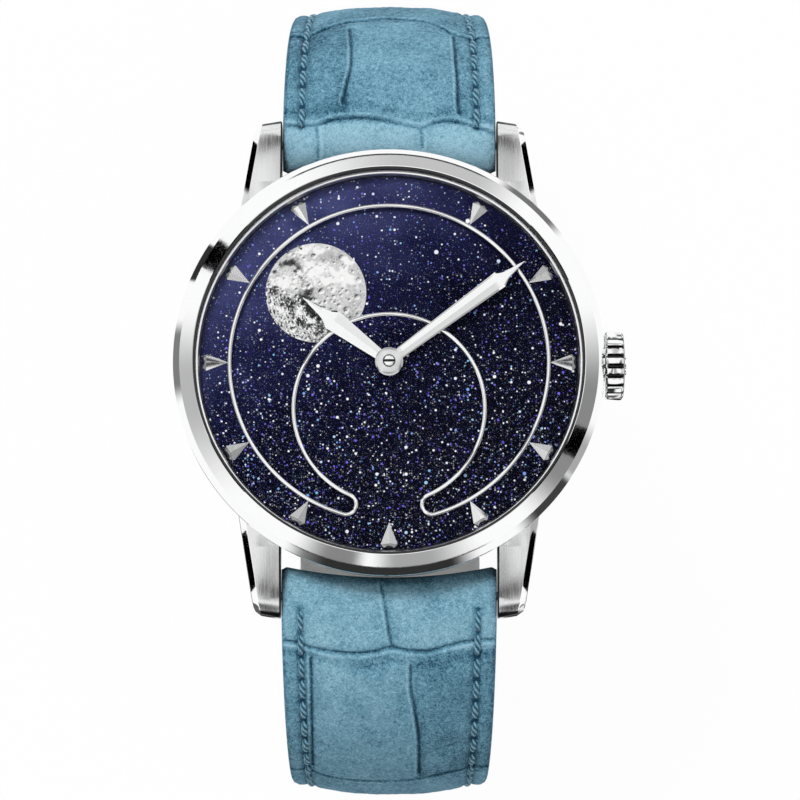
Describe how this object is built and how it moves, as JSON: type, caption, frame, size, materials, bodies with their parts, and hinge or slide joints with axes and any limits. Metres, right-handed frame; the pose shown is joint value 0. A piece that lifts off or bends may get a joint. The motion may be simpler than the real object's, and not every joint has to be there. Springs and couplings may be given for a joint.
{
  "type": "wristwatch",
  "caption": "Dress wristwatch with a glittering navy dial, a horseshoe moon aperture, polished bezel and padded blue leather strap closed in a loop.",
  "frame": {"origin": "middle of the case back's outer face, on its window", "axes": "+Z out of the dial, +Y to 12 o'clock, +X to 3 o'clock, where the crown is"},
  "size_m": [0.0421, 0.0764, 0.0504],
  "materials": {
    "polished_steel": "mirror polished steel",
    "brushed_steel": "steel brushed along its length",
    "fine_steel": "fine turned steel",
    "plated_bridge": "plated bridges with a fine grain",
    "gilt_brass": "gilt, fine satin",
    "sapphire": "clear domed sapphire",
    "window_glass": "clear flat glass",
    "aventurine": "opaque navy glass full of fine glitter",
    "moon_grey": "matt grey relief with craters",
    "rubber_black": "matt",
    "ruby": "polished synthetic ruby",
    "blue_leather": "blue nubuck with a large square grain",
    "lining_leather": "smooth pale blue leather"
  },
  "bodies": {
    "case": {"mid_case": "brushed_steel", "bezel": "polished_steel", "crystal": "sapphire", "crystal_gasket": "rubber_black", "rehaut_ring": "polished_steel", "dial_plate": "aventurine", "aperture_frame": "polished_steel", "hour_markers": "polished_steel", "casing_ring": "fine_steel", "main_plate": "gilt_brass", "barrel_bridge": "plated_bridge", "train_bridge": "plated_bridge", "balance_cock": "plated_bridge", "jewels": "ruby", "movement_screws": "fine_steel", "case_back": "brushed_steel", "case_back_window": "window_glass", "case_back_gasket": "rubber_black", "crown_tube": "fine_steel", "spring_bar_12": "fine_steel", "spring_bar_6": "fine_steel"},
    "strap_12": {"strap_12_leather": "blue_leather", "strap_12_lining": "lining_leather", "keeper_fixed": "blue_leather", "buckle_bar": "fine_steel"},
    "strap_6": {"strap_6_leather": "blue_leather", "strap_6_lining": "lining_leather"},
    "keeper_free": {"keeper_free": "blue_leather"},
    "buckle_frame": {"buckle_frame": "polished_steel"},
    "buckle_tongue": {"buckle_tongue": "polished_steel"},
    "bar_pivot_12_left": {"bar_pivot_12_left": "fine_steel"},
    "bar_pivot_12_right": {"bar_pivot_12_right": "fine_steel"},
    "bar_pivot_6_left": {"bar_pivot_6_left": "fine_steel"},
    "bar_pivot_6_right": {"bar_pivot_6_right": "fine_steel"},
    "minute_hand": {"minute_hand": "polished_steel", "hand_cap": "polished_steel", "cannon_pinion": "fine_steel"},
    "hour_hand": {"hour_hand": "polished_steel", "hour_wheel": "gilt_brass"},
    "minute_wheel": {"minute_wheel": "gilt_brass"},
    "moon_finger_wheel": {"moon_finger_wheel": "gilt_brass"},
    "moon_disc": {"moon_disc": "aventurine", "moon": "moon_grey", "moon_star": "gilt_brass"},
    "moon_jumper": {"moon_jumper": "fine_steel"},
    "crown_slide": {"crown_gasket": "rubber_black"},
    "crown": {"crown": "polished_steel", "winding_stem": "fine_steel"},
    "winding_pinion": {"winding_pinion": "fine_steel"},
    "crown_wheel": {"crown_wheel": "fine_steel"},
    "ratchet_wheel": {"ratchet_wheel": "fine_steel"},
    "mainspring_barrel": {"mainspring_barrel": "gilt_brass"},
    "centre_wheel": {"centre_wheel": "gilt_brass"},
    "third_wheel": {"third_wheel": "gilt_brass"},
    "fourth_wheel": {"fourth_wheel": "gilt_brass"},
    "escape_wheel": {"escape_wheel": "fine_steel"},
    "pallet_fork": {"pallet_fork": "fine_steel"},
    "balance_wheel": {"balance_wheel": "gilt_brass", "hairspring": "fine_steel"},
    "rotor": {"rotor": "plated_bridge"}
  },
  "joints": [
    {"name": "strap_6_pivot", "type": "hinge", "parent": "case", "child": "strap_6", "pos_m": [0, -0.0213, 0.0036], "axis": [-1, 0, 0], "range_deg": [0, 45]},
    {"name": "strap_12_pivot", "type": "hinge", "parent": "case", "child": "strap_12", "pos_m": [0, 0.0213, 0.0036], "axis": [1, 0, 0], "range_deg": [0, 27]},
    {"name": "keeper_slide", "type": "slide", "parent": "strap_12", "child": "keeper_free", "axis": [0, 1, 0], "range_m": [-0.0012, 0.002]},
    {"name": "buckle_frame_pivot", "type": "hinge", "parent": "strap_12", "child": "buckle_frame", "pos_m": [0, -0.00219, -0.03244], "axis": [-1, 0, 0], "range_deg": [-12, 75]},
    {"name": "buckle_tongue_pivot", "type": "hinge", "parent": "buckle_frame", "child": "buckle_tongue", "pos_m": [0, -0.00219, -0.03244], "axis": [1, 0, 0], "range_deg": [0, 14]},
    {"name": "bar_pivot_12_left_slide", "type": "slide", "parent": "case", "child": "bar_pivot_12_left", "axis": [1, 0, 0], "range_m": [0, 0.0012], "stiffness_N_per_m": 500, "springref_m": -0.0005},
    {"name": "bar_pivot_12_right_slide", "type": "slide", "parent": "case", "child": "bar_pivot_12_right", "axis": [-1, 0, 0], "range_m": [0, 0.0012], "stiffness_N_per_m": 500, "springref_m": -0.0005},
    {"name": "bar_pivot_6_left_slide", "type": "slide", "parent": "case", "child": "bar_pivot_6_left", "axis": [1, 0, 0], "range_m": [0, 0.0012], "stiffness_N_per_m": 500, "springref_m": -0.0005},
    {"name": "bar_pivot_6_right_slide", "type": "slide", "parent": "case", "child": "bar_pivot_6_right", "axis": [-1, 0, 0], "range_m": [0, 0.0012], "stiffness_N_per_m": 500, "springref_m": -0.0005},
    {"name": "minute_hand_turn", "type": "hinge", "parent": "case", "child": "minute_hand", "pos_m": [0, 0, 0.005], "axis": [0, 0, -1], "continuous": true},
    {"name": "hour_hand_turn", "type": "hinge", "parent": "case", "child": "hour_hand", "pos_m": [0, 0, 0.005], "axis": [0, 0, -1], "continuous": true},
    {"name": "minute_wheel_turn", "type": "hinge", "parent": "case", "child": "minute_wheel", "pos_m": [0.00239, 0.00201, 0.005], "axis": [0, 0, -1], "continuous": true},
    {"name": "moon_finger_turn", "type": "hinge", "parent": "case", "child": "moon_finger_wheel", "pos_m": [-0.00648, 0.00374, 0.005], "axis": [0, 0, -1], "continuous": true},
    {"name": "moon_disc_turn", "type": "hinge", "parent": "case", "child": "moon_disc", "pos_m": [0, 0, 0.005], "axis": [0, 0, -1], "continuous": true},
    {"name": "moon_jumper_pivot", "type": "hinge", "parent": "case", "child": "moon_jumper", "pos_m": [0.00382, -0.00859, 0.005], "axis": [0, 0, 1], "range_deg": [0, 4], "stiffness_Nm_per_rad": 0.001, "springref_deg": -2.86},
    {"name": "crown_pull", "type": "slide", "parent": "case", "child": "crown_slide", "axis": [1, 0, 0], "range_m": [0, 0.0012]},
    {"name": "crown_turn", "type": "hinge", "parent": "crown_slide", "child": "crown", "pos_m": [0.02, 0, 0.0056], "axis": [1, 0, 0], "continuous": true},
    {"name": "winding_pinion_turn", "type": "hinge", "parent": "case", "child": "winding_pinion", "pos_m": [0.01, 0, 0.0056], "axis": [1, 0, 0], "continuous": true},
    {"name": "crown_wheel_turn", "type": "hinge", "parent": "case", "child": "crown_wheel", "pos_m": [0.0072, 0, 0.005], "axis": [0, 0, 1], "continuous": true},
    {"name": "ratchet_wheel_turn", "type": "hinge", "parent": "case", "child": "ratchet_wheel", "pos_m": [0.0022, 0.00532, 0.005], "axis": [0, 0, 1], "continuous": true},
    {"name": "barrel_turn", "type": "hinge", "parent": "case", "child": "mainspring_barrel", "pos_m": [0.0022, 0.00532, 0.005], "axis": [0, 0, -1], "continuous": true},
    {"name": "centre_wheel_turn", "type": "hinge", "parent": "case", "child": "centre_wheel", "pos_m": [0, 0, 0.005], "axis": [0, 0, -1], "continuous": true},
    {"name": "third_wheel_turn", "type": "hinge", "parent": "case", "child": "third_wheel", "pos_m": [-0.00423, -0.00154, 0.005], "axis": [0, 0, -1], "continuous": true},
    {"name": "fourth_wheel_turn", "type": "hinge", "parent": "case", "child": "fourth_wheel", "pos_m": [-0.00232, -0.00485, 0.005], "axis": [0, 0, -1], "continuous": true},
    {"name": "escape_wheel_turn", "type": "hinge", "parent": "case", "child": "escape_wheel", "pos_m": [0.00115, -0.00546, 0.005], "axis": [0, 0, -1], "continuous": true},
    {"name": "pallet_fork_swing", "type": "hinge", "parent": "case", "child": "pallet_fork", "pos_m": [0.00351, -0.00656, 0.005], "axis": [0, 0, 1], "range_deg": [-5, 5]},
    {"name": "balance_swing", "type": "hinge", "parent": "case", "child": "balance_wheel", "pos_m": [0.00611, -0.00656, 0.005], "axis": [0, 0, 1], "range_deg": [-265, 265], "stiffness_Nm_per_rad": 0.000001, "deforming": ["hairspring"]},
    {"name": "rotor_turn", "type": "hinge", "parent": "case", "child": "rotor", "pos_m": [0, 0, 0.005], "axis": [0, 0, 1], "continuous": true}
  ],
  "couplings": [
    {"joint": "strap_12_pivot", "follows": "strap_6_pivot", "ratio": 0.6},
    {"joint": "hour_hand_turn", "follows": "minute_hand_turn", "ratio": 0.083333},
    {"joint": "minute_wheel_turn", "follows": "minute_hand_turn", "ratio": -0.33333},
    {"joint": "moon_finger_turn", "follows": "minute_hand_turn", "ratio": -0.041667},
    {"joint": "winding_pinion_turn", "follows": "crown_turn", "ratio": 1},
    {"joint": "crown_wheel_turn", "follows": "crown_turn", "ratio": 0.41379},
    {"joint": "ratchet_wheel_turn", "follows": "crown_turn", "ratio": -0.27273},
    {"joint": "third_wheel_turn", "follows": "fourth_wheel_turn", "ratio": -0.13333},
    {"joint": "centre_wheel_turn", "follows": "fourth_wheel_turn", "ratio": 0.016667},
    {"joint": "barrel_turn", "follows": "fourth_wheel_turn", "ratio": -0.002381},
    {"joint": "escape_wheel_turn", "follows": "fourth_wheel_turn", "ratio": -10}
  ]
}
